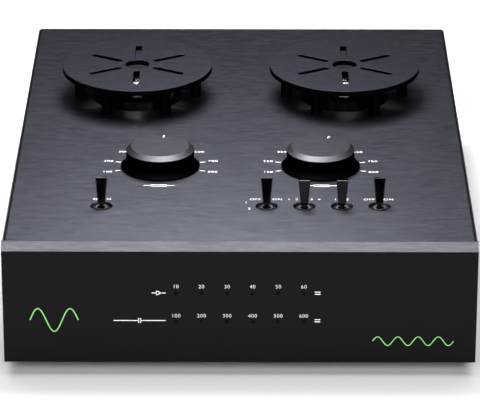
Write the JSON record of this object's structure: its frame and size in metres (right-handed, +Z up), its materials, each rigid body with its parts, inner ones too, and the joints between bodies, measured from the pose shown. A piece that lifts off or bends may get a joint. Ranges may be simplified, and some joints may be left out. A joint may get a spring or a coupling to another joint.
{
  "type": "phono preamp",
  "caption": "Flat metal phono preamp with valves under slotted round guards, rotary selectors, toggle switches, front lamps and rear audio jacks.",
  "frame": {"origin": "on the table, in the middle of the footprint, jacks and ground post included", "axes": "+X to the right seen from the front, +Y to the back, where the jacks are, +Z up"},
  "size_m": [0.245, 0.335, 0.094],
  "materials": {
    "black_anodised": "brushed, anodised black",
    "black_cover": "brushed, black",
    "tray_steel": "matt black",
    "knob_black": "turned, anodised black",
    "steel": "plain",
    "black_steel": "blackened",
    "nickel": "bright",
    "gold": "gold plated",
    "glass": "clear",
    "anode_grey": "dark grey",
    "ceramic": "white",
    "rubber": "matt",
    "black_plastic": "satin",
    "lever_black": "satin black",
    "board_green": "solder mask",
    "lamp_clear": "clear acrylic",
    "lamp_blue": "milky",
    "capacitor_sleeve": "dark blue sleeve",
    "film_red": "red",
    "relay_white": "white",
    "heatsink_black": "black",
    "ribbon_grey": "grey",
    "jack_white": "white"
  },
  "bodies": {
    "case": {"front_panel": "black_anodised", "top_cover": "black_cover", "base_tray": "tray_steel", "rear_panel": "tray_steel", "rubber_feet": "rubber", "foot_screws": "black_steel", "cover_screws": "black_steel", "panel_screws": "black_steel", "left_valve_bulb": "glass", "right_valve_bulb": "glass", "valve_electrodes": "anode_grey", "valve_pins": "nickel", "valve_sockets": "ceramic", "left_valve_guard": "black_anodised", "right_valve_guard": "black_anodised", "guard_posts": "black_anodised", "guard_screws": "black_steel", "left_selector_switch": "nickel", "right_selector_switch": "nickel", "selector_washers": "nickel", "selector_nuts": "nickel", "toggle_bushings": "black_steel", "toggle_pins": "steel", "toggle_nuts": "nickel", "toggle_housings": "black_plastic", "control_board": "board_green", "main_board": "board_green", "lamp_board": "board_green", "board_standoffs": "nickel", "board_screws": "steel", "leds": "lamp_blue", "light_pipes": "lamp_clear", "electrolytic_capacitors": "capacitor_sleeve", "film_capacitors": "film_red", "relays": "relay_white", "heatsink": "heatsink_black", "voltage_regulators": "black_plastic", "chips": "black_plastic", "ribbon_headers": "black_plastic", "ribbon_cables": "ribbon_grey", "rca_housings": "black_plastic", "rca_shells": "gold", "rca_insulators": "jack_white", "rear_contacts": "gold", "dc_inlet": "black_plastic", "ground_post": "gold", "ground_washer": "gold"},
    "left_knob": {"left_knob": "knob_black", "left_knob_grub_screw": "black_steel", "left_selector_shaft": "steel"},
    "right_knob": {"right_knob": "knob_black", "right_knob_grub_screw": "black_steel", "right_selector_shaft": "steel"},
    "power_lever": {"power_toggle_lever": "lever_black"},
    "filter_lever": {"filter_toggle_lever": "lever_black"},
    "gain_lever": {"gain_toggle_lever": "lever_black"},
    "capacitance_lever": {"capacitance_toggle_lever": "lever_black"},
    "input_lever": {"input_toggle_lever": "lever_black"},
    "ground_nut": {"ground_thumb_nut": "gold"}
  },
  "joints": [
    {"name": "left_knob_turn", "type": "hinge", "parent": "case", "child": "left_knob", "pos_m": [-0.0434, -0.0632, 0.075], "axis": [0, 0, 1], "range_deg": [-98, 112]},
    {"name": "right_knob_turn", "type": "hinge", "parent": "case", "child": "right_knob", "pos_m": [0.0434, -0.0632, 0.075], "axis": [0, 0, 1], "range_deg": [-85.5, 124.5]},
    {"name": "power_toggle_tip", "type": "hinge", "parent": "case", "child": "power_lever", "pos_m": [-0.073, -0.1175, 0.072], "axis": [1, 0, 0], "range_deg": [0, 25]},
    {"name": "filter_toggle_tip", "type": "hinge", "parent": "case", "child": "filter_lever", "pos_m": [0.014, -0.1175, 0.072], "axis": [1, 0, 0], "range_deg": [0, 25]},
    {"name": "gain_toggle_tip", "type": "hinge", "parent": "case", "child": "gain_lever", "pos_m": [0.0338, -0.1175, 0.072], "axis": [1, 0, 0], "range_deg": [-12.5, 12.5], "stiffness_Nm_per_rad": 0.02},
    {"name": "capacitance_toggle_tip", "type": "hinge", "parent": "case", "child": "capacitance_lever", "pos_m": [0.0536, -0.1175, 0.072], "axis": [1, 0, 0], "range_deg": [-12.5, 12.5], "stiffness_Nm_per_rad": 0.02},
    {"name": "input_toggle_tip", "type": "hinge", "parent": "case", "child": "input_lever", "pos_m": [0.0734, -0.1175, 0.072], "axis": [1, 0, 0], "range_deg": [0, 25]},
    {"name": "ground_nut_turn", "type": "hinge", "parent": "case", "child": "ground_nut", "pos_m": [-0.045, 0.1563, 0.0351], "axis": [0, 1, 0], "range_deg": [0, 1800]}
  ]
}
